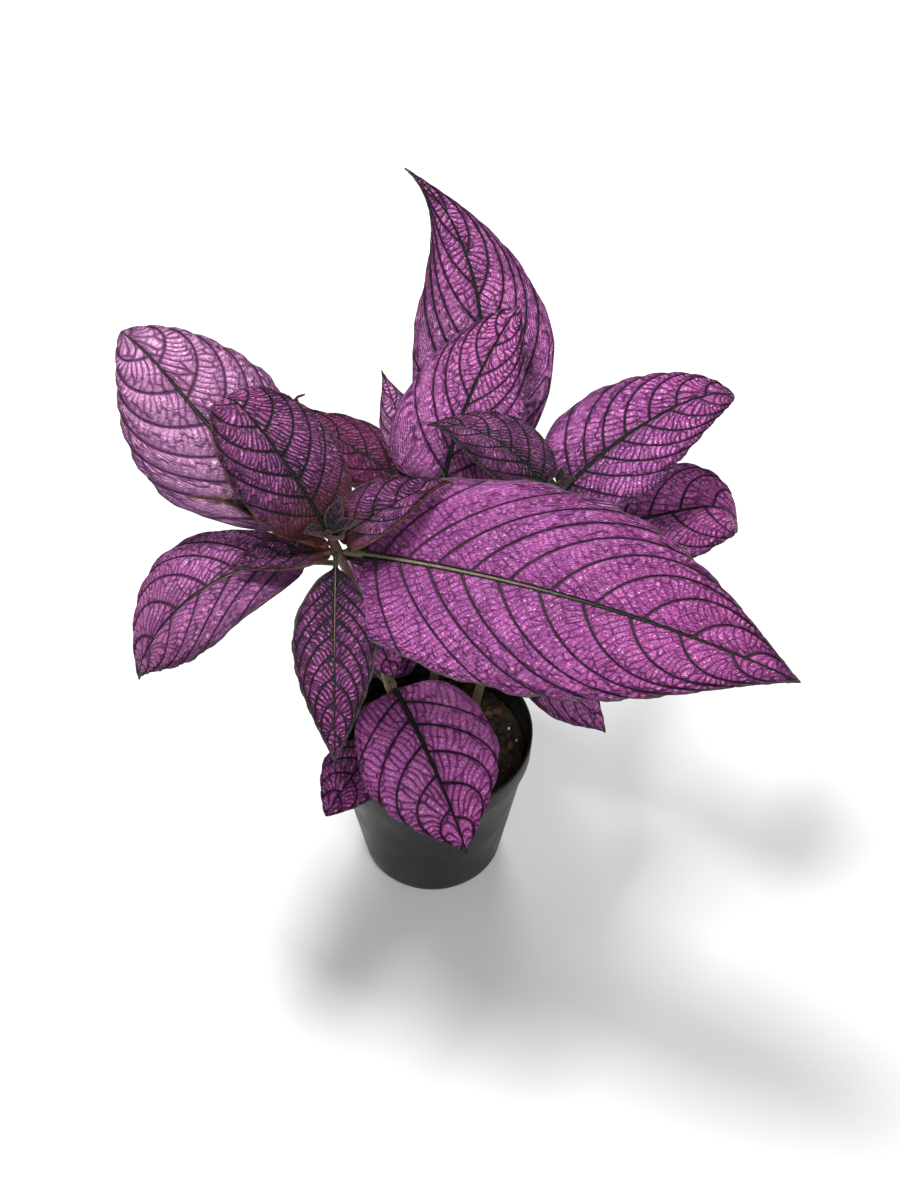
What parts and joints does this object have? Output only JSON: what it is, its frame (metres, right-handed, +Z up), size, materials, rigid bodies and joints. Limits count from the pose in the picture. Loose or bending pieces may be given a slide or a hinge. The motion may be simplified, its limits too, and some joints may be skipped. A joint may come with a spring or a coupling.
{
  "type": "potted strobilanthes",
  "caption": "Potted strobilanthes: leafy shoots with puckered, metallic purple and dark-veined pointed leaves, growing in a tapered plastic nursery pot of soil.",
  "frame": {"origin": "centre of the pot's flat underside, on the surface that the pot stands on", "axes": "+Z up, +X to the right in the picture, +Y away from the viewer; metres"},
  "size_m": [0.3088, 0.3212, 0.3245],
  "materials": {
    "leaf": "living leaf, metallic purple between dark green veins, maroon underneath",
    "stem": "green-brown, slightly ridged soft stem",
    "bud": "folded reddish-brown young leaves",
    "soil": "damp peat-based potting mix, crumbly, with a few perlite grains",
    "pot": "plain black nursery-pot plastic, satin, slightly grained"
  },
  "bodies": {
    "root": {"pot": "pot", "soil": "soil", "front_stem": "stem", "right_stem": "stem", "back_stem": "stem", "front_bud": "bud", "right_bud": "bud", "back_bud": "bud", "front_leaf_1": "leaf", "front_leaf_2": "leaf", "front_leaf_3": "leaf", "front_leaf_4": "leaf", "front_leaf_5": "leaf", "front_leaf_6": "leaf", "front_leaf_7": "leaf", "front_leaf_8": "leaf", "front_leaf_9": "leaf", "front_leaf_10": "leaf", "front_leaf_11": "leaf", "front_leaf_12": "leaf", "front_leaf_13": "leaf", "front_leaf_14": "leaf", "right_leaf_1": "leaf", "right_leaf_2": "leaf", "right_leaf_3": "leaf", "right_leaf_4": "leaf", "right_leaf_5": "leaf", "right_leaf_6": "leaf", "right_leaf_7": "leaf", "right_leaf_8": "leaf", "back_leaf_1": "leaf", "back_leaf_2": "leaf", "back_leaf_3": "leaf", "back_leaf_4": "leaf", "back_leaf_5": "leaf", "back_leaf_6": "leaf", "back_leaf_7": "leaf", "back_leaf_8": "leaf", "back_leaf_9": "leaf"}
  },
  "joints": []
}
